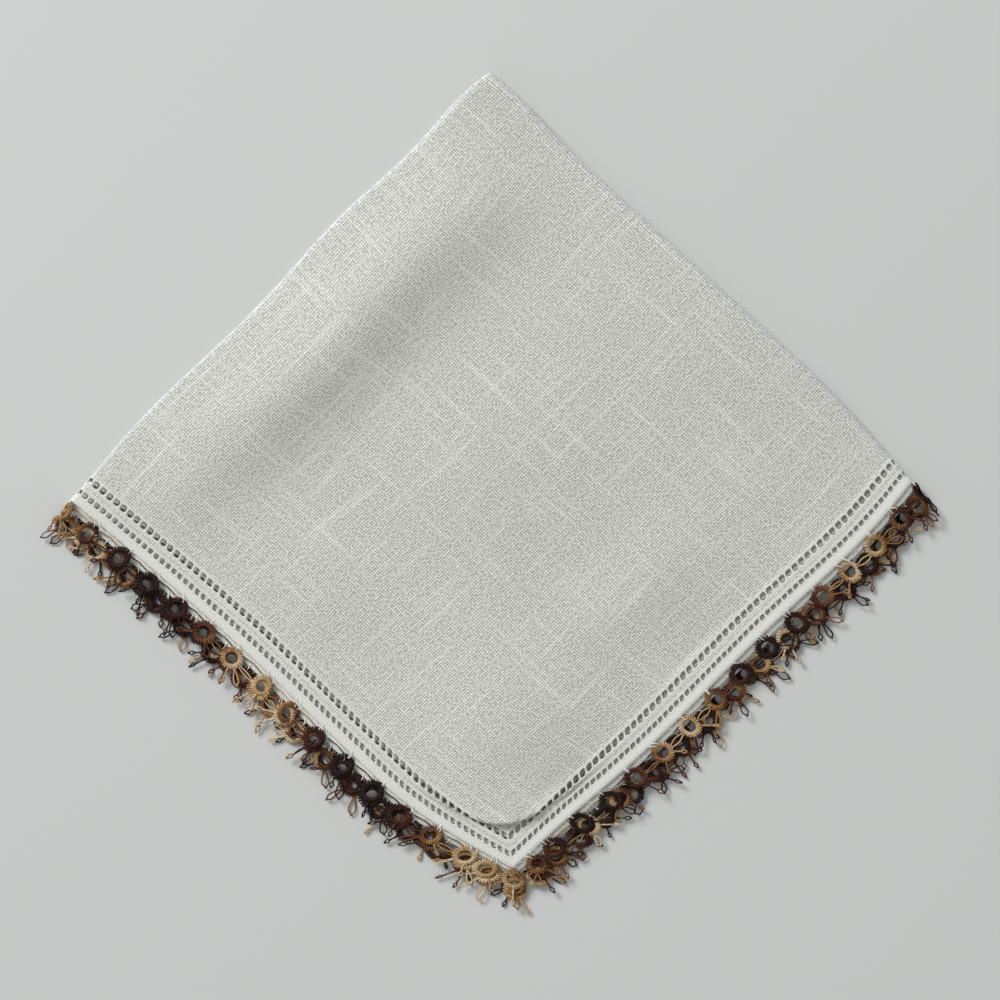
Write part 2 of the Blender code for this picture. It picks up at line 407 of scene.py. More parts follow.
def close_sheet(faces, count):
    """Give a sheet's faces a second side and a rim: corners past count are below."""
    edges = {}
    for face in faces:
        for here, after in zip(face, face[1:] + face[:1]):
            if (after, here) in edges:
                del edges[(after, here)]
            else:
                edges[(here, after)] = True
    below = [tuple(corner + count for corner in reversed(face)) for face in faces]
    rim = [(after, here, here + count, after + count) for here, after in edges]
    return faces + below + rim


def sheet_piece(cloth, name, open_points, swell, faces, material):
    """Fold an open sheet and make it a closed piece with a UV map of the open cloth."""
    p, q = open_points[:, 0], open_points[:, 1]
    middle, normal = folded(cloth, p, q), surface_normal(cloth, p, q)
    half = (cloth.thickness / MM / 2 + swell)[:, None]
    points = np.vstack([middle + normal * half, middle - normal * half])
    piece = mesh_piece(name, points, close_sheet(faces, len(p)), material)
    mesh = piece.data
    mesh.set_sharp_from_angle(angle=math.radians(60))
    corner_point = np.empty(len(mesh.loops), dtype=np.int32)
    mesh.loops.foreach_get("vertex_index", corner_point)
    across = cloth.half_side / MM * 2
    uv = np.vstack([open_points, open_points])[corner_point] / across + 0.5
    layer = mesh.uv_layers.new(name="open_cloth")
    layer.data.foreach_set("uv", uv.astype(np.float32).ravel())
    return piece


def field_lines(cloth, arc):
    """Where the field's lines lie across the open cloth, close together at the fold."""
    edge = cloth.half_side / MM - FIELD_EDGE
    bend = np.linspace(-arc, arc, BEND_STEPS + 1)
    # the lines draw together towards the hem, where the cloth has its ridge
    share = np.linspace(0, 1, FLAT_STEPS + 1)[1:]
    flat = arc + (edge - arc) * (1.25 * share - 0.25 * share ** 4)
    return np.concatenate([-flat[::-1], bend, flat])


def square_hole(cell_low, cell_high, near, far, hole_length, hole_width):
    """Lay out one hole in its cell: rings of points from the cell's edge to the hole.

    The cell runs from cell_low to cell_high along the hem and from near to far
    in from the hem's edge. Returns the rings, each a list of (along, inwards).
    """
    n = CELL_SEGMENTS
    steps = [(i / n, 0) for i in range(n)] + [(1, i / n) for i in range(n)]
    steps += [(1 - i / n, 1) for i in range(n)] + [(0, 1 - i / n) for i in range(n)]
    middle = ((cell_low + cell_high) / 2, (near + far) / 2)
    rings = [[], [], []]
    for x, y in steps:
        edge = (cell_low + x * (cell_high - cell_low), near + y * (far - near))
        side = np.array([2 * x - 1, 2 * y - 1])
        bulge = np.sum(np.abs(side) ** HOLE_SQUARENESS) ** (1 / HOLE_SQUARENESS)
        hole = (middle[0] + side[0] / bulge * hole_length / 2,
                middle[1] + side[1] / bulge * hole_width / 2)
        rings[0].append(edge)
        rings[1].append(tuple(0.5 * a + 0.5 * b for a, b in zip(edge, hole)))
        rings[2].append(hole)
    return rings


class OpenSheet:
    """Points of an open sheet, each kept once, with its faces."""

    def __init__(self):
        self.points, self.swell, self.faces, self.known = [], [], [], {}

    def point(self, p, q, swell):
        """Return the number of a point, new or already there."""
        key = (round(p, 3), round(q, 3))
        if key not in self.known:
            self.known[key] = len(self.points)
            self.points.append((p, q))
            self.swell.append(swell)
        return self.known[key]

    def face(self, corners):
        """Add a face, facing up on the open cloth."""
        a, b, c = (np.array(self.points[corner]) for corner in corners[:3])
        turn = (b - a)[0] * (c - a)[1] - (b - a)[1] * (c - a)[0]
        self.faces.append(tuple(corners) if turn > 0 else tuple(reversed(corners)))

    def strip(self, one, other, keys):
        """Fill the strip between two rows of points by the order of their keys."""
        one_keys, other_keys = keys
        i = j = 0
        while i < len(one) - 1 or j < len(other) - 1:
            go_one = j == len(other) - 1 or (
                i < len(one) - 1 and one_keys[i + 1] <= other_keys[j + 1])
            if go_one:
                self.face([one[i], one[i + 1], other[j]])
                i += 1
            else:
                self.face([one[i], other[j + 1], other[j]])
                j += 1


def open_side(side, along, inwards, half_side):
    """Turn a share along a side and a distance in from its hem into p and q.

    Side 0 has the hem at +p, side 1 at +q, side 2 at -p and side 3 at -q. The
    share goes from -1 to 1 in the order in which the sides follow each other.
    """
    out = half_side - inwards
    places = ((out, along * out), (-along * out, out), (-out, -along * out), (along * out, -out))
    return places[side]


def row_of_holes(sheet, side, half_side, middle, pitch, sizes, rng):
    """Add one row of hemstitched holes and return its two edges as rows of points."""
    depth, long, wide = sizes
    near, far = middle - depth / 2, middle + depth / 2
    count = int(round(2 * (half_side - middle) / pitch))
    edges = {near: [], far: []}
    scale = half_side - middle
    for cell in range(count):
        low, high = -1 + 2 * cell / count, -1 + 2 * (cell + 1) / count
        hole_length = long / scale * (1 + rng.uniform(-0.07, 0.07))
        hole_width = wide * (1 + rng.uniform(-0.06, 0.06))
        rings = square_hole(low, high, near, far, hole_length, hole_width)
        slip = rng.uniform(-0.04, 0.04)
        numbers = []
        for ring, swell in zip(rings, HOLE_SWELLS):
            moved = slip if swell < 0 else 0.0
            numbers.append([
                sheet.point(*open_side(side, a, b + moved, half_side), swell) for a, b in ring])
        for outer, inner in zip(numbers, numbers[1:]):
            for i in range(len(outer)):
                after = (i + 1) % len(outer)
                sheet.face([outer[i], outer[after], inner[after], inner[i]])
        for (a, b), number in zip(rings[0], numbers[0]):
            if b in edges:
                edges[b].append((a, number))
    return [sorted(set(edges[edge])) for edge in (near, far)]


def hem_point_row(sheet, side, half_side, inwards, swell, shares):
    """Add a row of points along one side of the hem."""
    return [(share, sheet.point(*open_side(side, share, inwards, half_side), swell))
            for share in shares]


def fill_between(sheet, one, other):
    """Fill the strip between two rows of (share, point) pairs."""
    sheet.strip([n for _, n in one], [n for _, n in other],
                ([share for share, _ in one], [share for share, _ in other]))


def hemstitched_sheet(cloth):
    """Lay out the whole border: rolled hem, two rows of holes and the edge of the field."""
    half_side = cloth.half_side / MM
    sheet, rng = OpenSheet(), np.random.default_rng(7)
    arcs = fold_arcs(cloth)
    for side in range(4):
        outer_near, outer_far = row_of_holes(
            sheet, side, half_side, cloth.outer_row / MM, cloth.outer_pitch / MM, OUTER_HOLE, rng)
        inner_near, inner_far = row_of_holes(
            sheet, side, half_side, cloth.inner_row / MM, cloth.inner_pitch / MM, INNER_HOLE, rng)
        shares = [share for share, _ in outer_near]
        hem_rows, between_rows = (
            [hem_point_row(sheet, side, half_side, inwards, swell, shares)
             for inwards, swell in lines]
            for lines in (HEM_LINES, BETWEEN_LINES))
        for rows in (hem_rows + [outer_near], [outer_far] + between_rows + [inner_near]):
            for one, other in zip(rows, rows[1:]):
                fill_between(sheet, one, other)
        edge = half_side - FIELD_EDGE
        lines = field_lines(cloth, arcs[0] if side % 2 == 0 else arcs[1]) / edge
        if side in (1, 2):
            lines = -lines[::-1]
        last = hem_point_row(sheet, side, half_side, FIELD_EDGE, 0.0, list(lines))
        fill_between(sheet, inner_far, last)
    return sheet


# ---- threads

def thread_loop(points, radius, sides):
    """Sweep a round thread along a closed path: points and faces."""
    path = np.asarray(points, dtype=float)
    ahead = np.roll(path, -1, axis=0) - np.roll(path, 1, axis=0)
    return sweep(path, ahead, radius, sides, closed=True)


def thread_run(points, radius, sides):
    """Sweep a round thread along an open path, with closed ends."""
    path = np.asarray(points, dtype=float)
    ahead = np.gradient(path, axis=0)
    return sweep(path, ahead, radius, sides, closed=False)


def sweep(path, ahead, radius, sides, closed):
    """Put a ring of points round each place of a path and join them."""
    ahead = ahead / np.linalg.norm(ahead, axis=1, keepdims=True)
    guide = np.array([0.0, 0.0, 1.0]) if np.mean(np.abs(ahead[:, 2])) < 0.7 else np.array([1.0, 0, 0])
    across = np.cross(ahead, guide)
    across /= np.maximum(np.linalg.norm(across, axis=1, keepdims=True), 1e-6)
    up = np.cross(across, ahead)
    count = len(path)
    radius = np.broadcast_to(radius, (count,))
    angles = np.arange(sides) * 2 * math.pi / sides
    ring = (across[:, None] * np.cos(angles)[None, :, None]
            + up[:, None] * np.sin(angles)[None, :, None])
    points = (path[:, None] + ring * radius[:, None, None]).reshape(-1, 3)
    faces = []
    for i in range(count if closed else count - 1):
        after = (i + 1) % count
        for j in range(sides):
            k = (j + 1) % sides
            faces.append((i * sides + j, after * sides + j, after * sides + k, i * sides + k))
    if not closed:
        faces.append(tuple(reversed(range(sides))))
        faces.append(tuple(range((count - 1) * sides, count * sides)))
    return points, [tuple(reversed(face)) for face in faces]


class ThreadWork:
    """Threads laid on the open cloth: along the hem, out from it, and up."""

    def __init__(self):
        self.points, self.shades, self.faces, self.count = [], [], [], 0

    def add(self, shape, place, shade):
        """Add a shape's points, moved by place, with the thread's shade there."""
        points, faces = shape
        self.points.append(place(points))
        self.shades.append(np.full(len(points), shade))
        self.faces += [tuple(corner + self.count for corner in face) for face in faces]
        self.count += len(points)


def turned(angle, scale=1.0, lift=0.0, middle=(0.0, 0.0), tilt=(0.0, 0.0)):
    """Return a rule that turns, sizes, tilts and moves points on the open cloth."""
    cos, sin = math.cos(angle) * scale, math.sin(angle) * scale

    def place(points):
        x = points[:, 0] * cos - points[:, 1] * sin
        y = points[:, 0] * sin + points[:, 1] * cos
        z = points[:, 2] * scale + lift + x * tilt[0] + y * tilt[1]
        return np.column_stack([x + middle[0], y + middle[1], z])

    return place


def stitch_shape(lace):
    """One ridge of a double stitch: the thread goes round the ring's core."""
    inner, outer = lace.hole_radius / MM, lace.ring_radius / MM
    thread = lace.thread / MM / 2
    angles = np.arange(8) * math.pi / 4
    middle, reach = (inner + outer) / 2, (outer - inner) / 2 - thread
    path = [(middle + reach * math.cos(a), 0.05 * math.sin(2 * a), 0.30 * math.sin(a))
            for a in angles]
    return thread_loop(path, thread * (1.18 + 0.36 * np.cos(angles)), 4)


def core_shape(lace):
    """The ring's core, hidden under the stitches, with the bar along its inside."""
    inner, outer = lace.hole_radius / MM, lace.ring_radius / MM
    angles = np.arange(26) * 2 * math.pi / 26
    middle = inner * 0.6 + outer * 0.4
    path = [(middle * math.cos(a), middle * math.sin(a), 0.0) for a in angles]
    return thread_loop(path, (outer - inner) * 0.24, 6)


def picot_shape(length, width, twisted, radius, rng):
    """A free picot that stands out along +Y: a loop of bare thread, twisted or open."""
    steps = 16
    path = []
    sway = rng.uniform(-0.35, 0.35)
    for i in range(steps):
        t = i / (steps - 1)
        around = 2 * math.pi * t
        along = (1 - math.cos(around)) / 2
        if twisted:
            half = 0.13 * math.cos(along * 5.0) + width / 2 * math.exp(-((along - 0.83) / 0.17) ** 2)
            level = 0.16 * math.sin(along * 7.0) * (1 - ease(np.array((along - 0.6) / 0.3)))
        else:
            half = 0.12 + width / 2 * math.sin(math.pi * min(along, 1.0) ** 1.6 * 0.93)
            level = 0.05
        side = 1 if t < 0.5 else -1
        closing = math.sqrt(max(1 - along, 0.0)) if along > 0.86 else 1.0
        path.append((side * half * closing + sway * along ** 2, along * length,
                     side * float(level) - 0.25 * along))
    return thread_run(path, radius, 5)


def join_shape(length, width, radius):
    """Two joined picots between neighbouring rings: the two threads of an open eye."""
    shapes = []
    for side in (1, -1):
        path = [((t - 0.5) * length, side * width / 2 * math.sin(math.pi * t) + side * 0.1, 0.02)
                for t in np.linspace(0, 1, 8)]
        shapes.append(thread_run(path, radius, 5))
    return shapes


def along_hem(side, points, half_side):
    """Turn points given along a hem, out from it and up into p, q and height."""
    x, y, z = points.T
    out = half_side + y
    p, q = ((out, x), (-x, out), (-out, -x), (x, -out))[side]
    return np.column_stack([p, q, z])


def round_the_hem(side, x, half_side):
    """Distance round the hem from the middle of side 0, in the order of the sides."""
    return side * 2 * half_side + x


def lay_on_cloth(cloth, points):
    """Carry points of the open cloth, with their height, onto the folded cloth."""
    p, q, height = points.T
    middle, normal = folded(cloth, p, q), surface_normal(cloth, p, q)
    laid = middle + normal * height[:, None]
    out = np.maximum(np.abs(p), np.abs(q)) - cloth.half_side / MM
    laid[:, 2] -= DROOP * (laid[:, 2] - LIES_AT) * ease(out / DROOPS_OVER)
    laid[:, 2] = np.maximum(laid[:, 2], LOWEST)
    return laid


def thread_piece(cloth, name, work, material):
    """Lay threads on the folded cloth as one mesh, with their shade as an attribute."""
    points = lay_on_cloth(cloth, np.vstack(work.points))
    piece = mesh_piece(name, points, work.faces, material)
    shade = piece.data.attributes.new("shade", "FLOAT", "POINT")
    shade.data.foreach_set("value", np.concatenate(work.shades).astype(np.float32))
    return piece


def ring_places(lace, side, half_side):
    """Where the rings of one side stand along it, the first one at its corner."""
    end, start = half_side - CORNER_GAP, half_side - SECOND_GAP
    places = np.linspace(-start, start, lace.rings_per_side - 2)
    places += RING_SHIFTS[side] * (1 - (places / start) ** 6)
    return np.concatenate([[-half_side - CORNER_OFFSET, -end], places, [end]])


class TattedSide:
    """The tatting along one side of the cloth, worked ring by ring."""

    def __init__(self, cloth, lace, side):
        self.side, self.lace = side, lace
        self.half_side = cloth.half_side / MM
        self.thread = lace.thread / MM / 2
        self.radius = lace.ring_radius / MM
        self.rng = np.random.default_rng(20 + side)
        self.stitch, self.core = stitch_shape(lace), core_shape(lace)
        self.work, self.middles = ThreadWork(), []

    def shade_at(self, x):
        """Shade of the thread at a place along this side: it counts the dyed rounds."""
        along = round_the_hem(self.side, x, self.half_side)
        outside = along - np.clip(along, LIGHTEST_AT[0], LIGHTEST_AT[-1])
        return np.interp(along, LIGHTEST_AT, range(len(LIGHTEST_AT))) + outside / SHADE_ROUND

    def add(self, shape, place, shade):
        """Add a shape that a rule places along the hem, out from it and up."""
        self.work.add(
            shape, lambda points: along_hem(self.side, place(points), self.half_side), shade)

    def make_ring(self, place, corner):
        """Add one ring: its core and the ridge of each double stitch round it."""
        rng = self.rng
        x = place + (0.0 if corner else rng.uniform(-0.45, 0.45))
        offset = self.lace.ring_offset / MM
        y = CORNER_OFFSET if corner else offset + rng.uniform(-0.25, 0.35)
        size = rng.uniform(0.93, 1.05)
        turn = rng.uniform(0, 2 * math.pi)
        tilt = (rng.uniform(-0.16, 0.16), rng.uniform(-0.16, 0.12))
        lift = rng.uniform(-0.05, 0.12)
        long = 1 + rng.uniform(-0.05, 0.09)
        self.middles.append((x, y, size))

        def ring_place(points):
            moved = turned(0.0, size, lift, (0, 0), tilt)(points)
            return moved * (2 - long, long, 1) + (x, y, 0)

        shade = self.shade_at(x)
        self.add(self.core, ring_place, shade)
        for ridge in range(self.lace.stitches):
            angle = turn + 2 * math.pi * ridge / self.lace.stitches + rng.uniform(-0.03, 0.03)
            around = turned(angle, 1 + rng.uniform(-0.03, 0.03), rng.uniform(-0.03, 0.05))
            along = 1.3 * math.cos(angle) * self.radius / SHADE_ROUND
            self.add(self.stitch, lambda points: ring_place(around(points)),
                     shade + along + rng.uniform(-0.012, 0.012))

    def make_free_picots(self, x, y, size):
        """Add the picots that stand out from one ring."""
        rng = self.rng
        for picot in rng.permutation(len(PICOT_TURNS))[:rng.integers(1, 3)]:
            angle = math.radians(PICOT_TURNS[picot] + rng.uniform(-10, 10))
            length = self.lace.picot_length / MM * rng.uniform(0.75, 1.25)
            shape = picot_shape(
                length, rng.uniform(0.9, 1.7), rng.random() < 0.6, self.thread * 1.1, rng)
            base = self.radius * size - 0.35
            foot = (x - math.sin(angle) * base, y + math.cos(angle) * base)
            self.add(shape, turned(angle, 1.0, rng.uniform(0.0, 0.2), foot),
                     self.shade_at(foot[0]) + rng.uniform(-0.05, 0.05))

    def make_join(self, one, other):
        """Join two rings: the eye of their joined picots, and the bare working thread."""
        rng, (x, y, size), (next_x, next_y, next_size) = self.rng, one, other
        gap = next_x - x - self.radius * (size + next_size)
        if gap < CLOSEST_JOIN:
            return
        eye = join_shape(gap + 1.1, rng.uniform(0.5, 1.5), self.thread * 0.9)
        angle = math.atan2(next_y - y, next_x - x) + rng.uniform(-0.12, 0.12)
        middle = ((x + size * self.radius + next_x - next_size * self.radius) / 2,
                  (y + next_y) / 2 + rng.uniform(0.2, 1.0))
        for shape in eye:
            self.add(shape, turned(angle, 1.0, 0.1, middle),
                     self.shade_at(middle[0]) + rng.uniform(-0.04, 0.04))
        path = [(x + t * (next_x - x), 1.2 * abs(t - 0.5) - 0.35, -0.3)
                for t in np.linspace(0.2, 0.8, 9)]
        self.add(thread_run(path, self.thread, 5), lambda points: points,
                 self.shade_at((x + next_x) / 2))

    def make_long_picots(self):
        """Add the few long picots that stand out on this side."""
        for side, x, turn_degrees, length in LONG_PICOTS:
            if side == self.side:
                shape = picot_shape(length, 0.7, True, self.thread * 0.95, self.rng)
                foot = (x, self.lace.ring_offset / MM)
                self.add(shape, turned(math.radians(turn_degrees), 1.0, 0.3, foot),
                         self.shade_at(x))


def tatted_side(cloth, lace, side):
    """Make the rings, joins and picots along one side of the cloth."""
    tatting = TattedSide(cloth, lace, side)
    for number, place in enumerate(ring_places(lace, side, tatting.half_side)):
        tatting.make_ring(place, corner=number == 0)
        tatting.make_free_picots(*tatting.middles[-1])
    for one, other in zip(tatting.middles, tatting.middles[1:]):
        tatting.make_join(one, other)
    tatting.make_long_picots()
    return tatting.work, tatting.middles


def whipping_threads(cloth, middles_by_side):
    """White sewing stitches that hold each ring to the hem."""
    half_side = cloth.half_side / MM
    rng = np.random.default_rng(61)
    work = ThreadWork()
    for side, middles in enumerate(middles_by_side):
        for x, _, _ in middles[1:]:
            for _ in range(rng.integers(1, 3)):
                start = x + rng.uniform(-1.3, 1.3)
                lean = rng.uniform(-0.3, 1.5)
                path = [(start - lean / 2, -0.95, 0.30), (start - lean / 4, -0.45, 0.50),
                        (start, 0.05, 0.46), (start + lean / 3, 0.45, 0.52),
                        (start + lean / 2, 0.95, 0.42), (start + lean / 2, 1.25, 0.2)]
                work.add(thread_run(path, 0.11, 5),
                         lambda points: along_hem(side, points, half_side), 0.0)
    return work


def loose_fibres(cloth):
    """Fine ends of linen fibre that stand out of the rolled hem."""
    half_side = cloth.half_side / MM
    rng = np.random.default_rng(83)
    work = ThreadWork()
    for side in range(4):
        for _ in range(260):
            x = rng.uniform(-half_side, half_side)
            y = rng.uniform(-0.6, 0.05)
            reach = rng.uniform(0.35, 1.3) * (1.8 if rng.random() < 0.12 else 1.0)
            lean, curl = rng.normal(0, 0.7), rng.normal(0, 0.5)
            path = [(x + reach * (lean * t + curl * t * t), y + reach * t, 0.34 + 0.25 * t)
                    for t in np.linspace(0, 1, 4)]
            thick = np.linspace(0.055, 0.025, 4)
            work.add(thread_run(path, thick, 3),
                     lambda points: along_hem(side, points, half_side), 0.0)
    return work


# ---- materials

def add_node(tree, kind, inputs=None, **settings):
    """Add a node with its settings, and give its inputs values or other nodes' outputs."""
    made = tree.nodes.new(kind)
    for name, value in settings.items():
        setattr(made, name, value)
    for name, value in (inputs or {}).items():
        if isinstance(value, bpy.types.NodeSocket):
            tree.links.new(value, made.inputs[name])
        else:
            made.inputs[name].default_value = value
    return made


def new_material(name, roughness, **constants):
    """Start a material and return it with its node tree and its shader."""
    material = bpy.data.materials.new(name)
    material.use_nodes = True
    shader = material.node_tree.nodes["Principled BSDF"]
    shader.inputs["Roughness"].default_value = roughness
    for socket, value in constants.items():
        shader.inputs[socket.replace("_", " ")].default_value = value
    return material, material.node_tree, shader


# The weave's height and the places of its slubs, step by step: name, operation and
# what it works on. x and y count the threads; in "over", those on top change places
WEAVE_STEPS = (
    ("turn_x", "MULTIPLY", "x", 2 * math.pi), ("round_x", "COSINE", "turn_x"),
    ("turn_y", "MULTIPLY", "y", 2 * math.pi), ("round_y", "COSINE", "turn_y"),
    ("half_x", "MULTIPLY", "x", math.pi), ("over_x", "COSINE", "half_x"),
    ("half_y", "MULTIPLY", "y", math.pi), ("over_y", "COSINE", "half_y"),
    ("over", "MULTIPLY", "over_x", "over_y"),
    ("both", "ADD", "round_x", "round_y"), ("apart", "SUBTRACT", "round_x", "round_y"),
    ("crown", "MULTIPLY_ADD", "over", "apart", "both"),
    ("height", "MULTIPLY_ADD", "crown", 0.25, 0.5),
    ("number_x", "ROUND", "x"), ("number_y", "ROUND", "y"),
    ("row_x", "MULTIPLY_ADD", "number_x", 3.71, 0.0),
    ("along_x", "MULTIPLY_ADD", "y", 0.022, 0.0),
    ("row_y", "MULTIPLY_ADD", "number_y", 3.71, 57.3),
    ("along_y", "MULTIPLY_ADD", "x", 0.022, 57.3),
)


def plain_weave(tree, cloth):
    """Height of a plain weave on the open cloth, and how much a thread is a slub."""
    uv = add_node(tree, "ShaderNodeUVMap", uv_map="open_cloth")
    threads = 2 * cloth.half_side / cloth.thread_pitch
    wander = add_node(tree, "ShaderNodeTexNoise", {"Vector": uv.outputs[0], "Scale": 90.0},
                      noise_dimensions="2D")
    counted = add_node(tree, "ShaderNodeVectorMath", {0: uv.outputs[0], 1: (threads, threads, 0)},
                       operation="MULTIPLY")
    bent = add_node(tree, "ShaderNodeVectorMath",
                    {0: wander.outputs["Color"], 1: (0.9, 0.9, 0.0), 2: counted.outputs[0]},
                    operation="MULTIPLY_ADD")
    parts = add_node(tree, "ShaderNodeSeparateXYZ", {0: bent.outputs[0]})
    made = {"x": parts.outputs[0], "y": parts.outputs[1]}
    for name, operation, *values in WEAVE_STEPS:
        inputs = {number: made.get(value, value) for number, value in enumerate(values)}
        made[name] = add_node(tree, "ShaderNodeMath", inputs, operation=operation).outputs[0]

    slubs = {}
    for number, own in enumerate("xy"):
        place = add_node(tree, "ShaderNodeCombineXYZ",
                         {0: made["row_" + own], 1: made["along_" + own]})
        uneven = add_node(tree, "ShaderNodeTexNoise",
                          {"Vector": place.outputs[0], "Scale": 1.0, "Detail": 1.0},
                          noise_dimensions="2D")
        slubs[number] = uneven.outputs[0]
    thick = add_node(tree, "ShaderNodeMath", slubs, operation="MAXIMUM")
    slub = add_node(tree, "ShaderNodeMapRange",
                    {"Value": thick.outputs[0], "From Min": 0.60, "From Max": 0.88,
                     "To Max": 0.42})
    grain = add_node(tree, "ShaderNodeTexNoise",
                     {"Vector": counted.outputs[0], "Scale": 1.0, "Detail": 1.0},
                     noise_dimensions="2D")
    centred = add_node(tree, "ShaderNodeMath", {0: grain.outputs[0], 1: 0.5},
                       operation="SUBTRACT")
    height = add_node(tree, "ShaderNodeMath",
                      {0: centred.outputs[0], 1: 1.5, 2: made["height"]},
                      operation="MULTIPLY_ADD")
    return uv, height.outputs[0], slub.outputs[0]


def linen_material(cloth, colours, stitched):
    """Plain-woven linen, bleached and washed; stitched makes the dense rolled hem.

    Linen is spun uneven, so single threads run brighter and thicker for a few
    centimetres. The weave's height also sets its colour: painted shade darkens the
    low places between the threads into a fine grain. The real threads are about
    0.48 mm apart: the pitch here is a little coarser, to show.
    """
    name = "rolled linen hem" if stitched else "plain-woven linen"
    material, tree, shader = new_material(name, 0.86, Sheen_Weight=0.12, Sheen_Roughness=0.5)
    uv, height, slub = plain_weave(tree, cloth)
    thread_colour = (*colours.linen, 1.0)
    # Painted shade: the weave's height darkens the colour in the low places between the threads.
    weave_gap_shade = tuple(c * 0.40 for c in colours.linen) + (1.0,)
    body = add_node(tree, "ShaderNodeMix", {"Factor": height, 6: weave_gap_shade, 7: thread_colour},
                    data_type="RGBA")
    bright = add_node(tree, "ShaderNodeMix",
                      {"Factor": slub, 6: body.outputs[2], 7: linear("#F4F4EE")},
                      data_type="RGBA")
    colour, relief = bright.outputs[2], height
    if stitched:
        fuzz = add_node(tree, "ShaderNodeTexNoise",
                        {"Vector": uv.outputs[0], "Scale": 900.0, "Detail": 2.0},
                        noise_dimensions="2D")
        cover = add_node(tree, "ShaderNodeAttribute", attribute_name="cover")
        # Painted shade: the fuzz that is the hem's bump also darkens the hem's colour where it is
        # low.
        dense = add_node(tree, "ShaderNodeMix",
                         {"Factor": fuzz.outputs[0], 6: linear("#B4B4AD"), 7: linear("#F3F3EE")},
                         data_type="RGBA")
        colour = add_node(tree, "ShaderNodeMix",
                          {"Factor": cover.outputs["Fac"], 6: colour, 7: dense.outputs[2]},
                          data_type="RGBA").outputs[2]
        relief = add_node(tree, "ShaderNodeMix",
                          {"Factor": cover.outputs["Fac"], 2: height, 3: fuzz.outputs[0]}).outputs[0]
    bump = add_node(tree, "ShaderNodeBump", {"Height": relief, "Distance": 0.12 * MM,
                                             "Strength": 0.8})
    tree.links.new(colour, shader.inputs["Base Color"])
    tree.links.new(bump.outputs[0], shader.inputs["Normal"])
    return material


def tatting_thread_material():
    """Mercerised cotton tatting thread, dyed in shades that change along it.

    The finish of the thread gives a soft gloss, and its plies a fine grain; their
    height also darkens the colour in their hollows and lightens it on their tops,
    as painted shade and painted light.
    """
    material, tree, shader = new_material("mercerised cotton tatting thread", 0.6,
                                          Specular_IOR_Level=0.25)
    place = add_node(tree, "ShaderNodeTexCoord")
    shade = add_node(tree, "ShaderNodeAttribute", attribute_name="shade")
    drift = add_node(tree, "ShaderNodeTexNoise",
                     {"Vector": place.outputs["Object"], "Scale": 700.0, "Detail": 2.0})
    moved = add_node(tree, "ShaderNodeMath",
                     {0: drift.outputs[0], 1: 0.10, 2: shade.outputs["Fac"]},
                     operation="MULTIPLY_ADD")
    turn = add_node(tree, "ShaderNodeMath", {0: moved.outputs[0]}, operation="FRACT")
    ramp = add_node(tree, "ShaderNodeValToRGB", {"Fac": turn.outputs[0]})
    stops = ramp.color_ramp.elements
    while len(stops) < len(THREAD_SHADES):
        stops.new(0.5)
    for stop, (share, code) in zip(stops, THREAD_SHADES):
        stop.position = share
        stop.color = linear(code)
    plies = add_node(tree, "ShaderNodeTexNoise",
                     {"Vector": place.outputs["Object"], "Scale": 4200.0, "Detail": 1.0})
    # Painted shade and light: the plies' bump height scales the colour's value from 0.45 to 1.2.
    ply_shading = add_node(tree, "ShaderNodeHueSaturation",
                    {"Value": add_node(tree, "ShaderNodeMapRange",
                                       {"Value": plies.outputs[0], "To Min": 0.45,
                                        "To Max": 1.2}).outputs[0],
                     "Color": ramp.outputs[0]})
    bump = add_node(tree, "ShaderNodeBump", {"Height": plies.outputs[0], "Distance": 0.08 * MM,
                                             "Strength": 0.6})
    tree.links.new(ply_shading.outputs[0], shader.inputs["Base Color"])
    tree.links.new(bump.outputs[0], shader.inputs["Normal"])
    return material


def sewing_thread_material():
    """White cotton sewing thread and linen fibre: matt, with a faint grain."""
    material, tree, shader = new_material("white cotton sewing thread", 0.8, Sheen_Weight=0.2)
    place = add_node(tree, "ShaderNodeTexCoord")
    grain = add_node(tree, "ShaderNodeTexNoise",
                     {"Vector": place.outputs["Object"], "Scale": 3000.0, "Detail": 1.0})
    tone = add_node(tree, "ShaderNodeMix",
                    {"Factor": grain.outputs[0], 6: linear("#D4D4CE"), 7: linear("#FFFFFA")},
                    data_type="RGBA")
    tree.links.new(tone.outputs[2], shader.inputs["Base Color"])
    return material


def floor_material(colours):
    """Matt painted board: a plain pale coat with a faint unevenness in its tone."""
    material, tree, shader = new_material("matt painted board", 0.9,
                                          Specular_IOR_Level=0.15)
    place = add_node(tree, "ShaderNodeTexCoord")
    tone = add_node(tree, "ShaderNodeTexNoise",
                    {"Vector": place.outputs["Object"], "Scale": 3.0, "Detail": 2.0})
    darker = tuple(c * 0.96 for c in colours.floor) + (1.0,)
    mixed = add_node(tree, "ShaderNodeMix",
                     {"Factor": tone.outputs[0], 6: darker, 7: (*colours.floor, 1.0)},
                     data_type="RGBA")
    tree.links.new(mixed.outputs[2], shader.inputs["Base Color"])
    return material


# ---- operators

TATTING = ("tatting_left_front", "tatting_right_front", "tatting_left_back", "tatting_right_back")


def deselect_all():
    """Clear the selection, so that no operator acts by accident."""
    bpy.ops.object.select_all(action="DESELECT")


def hand_over(piece, slot, *nodes):
    """Let a piece ride with the cloth and stand for its CAD nodes. The slot is not used."""
    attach(piece, "root")
    for node in nodes:
        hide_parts(node)


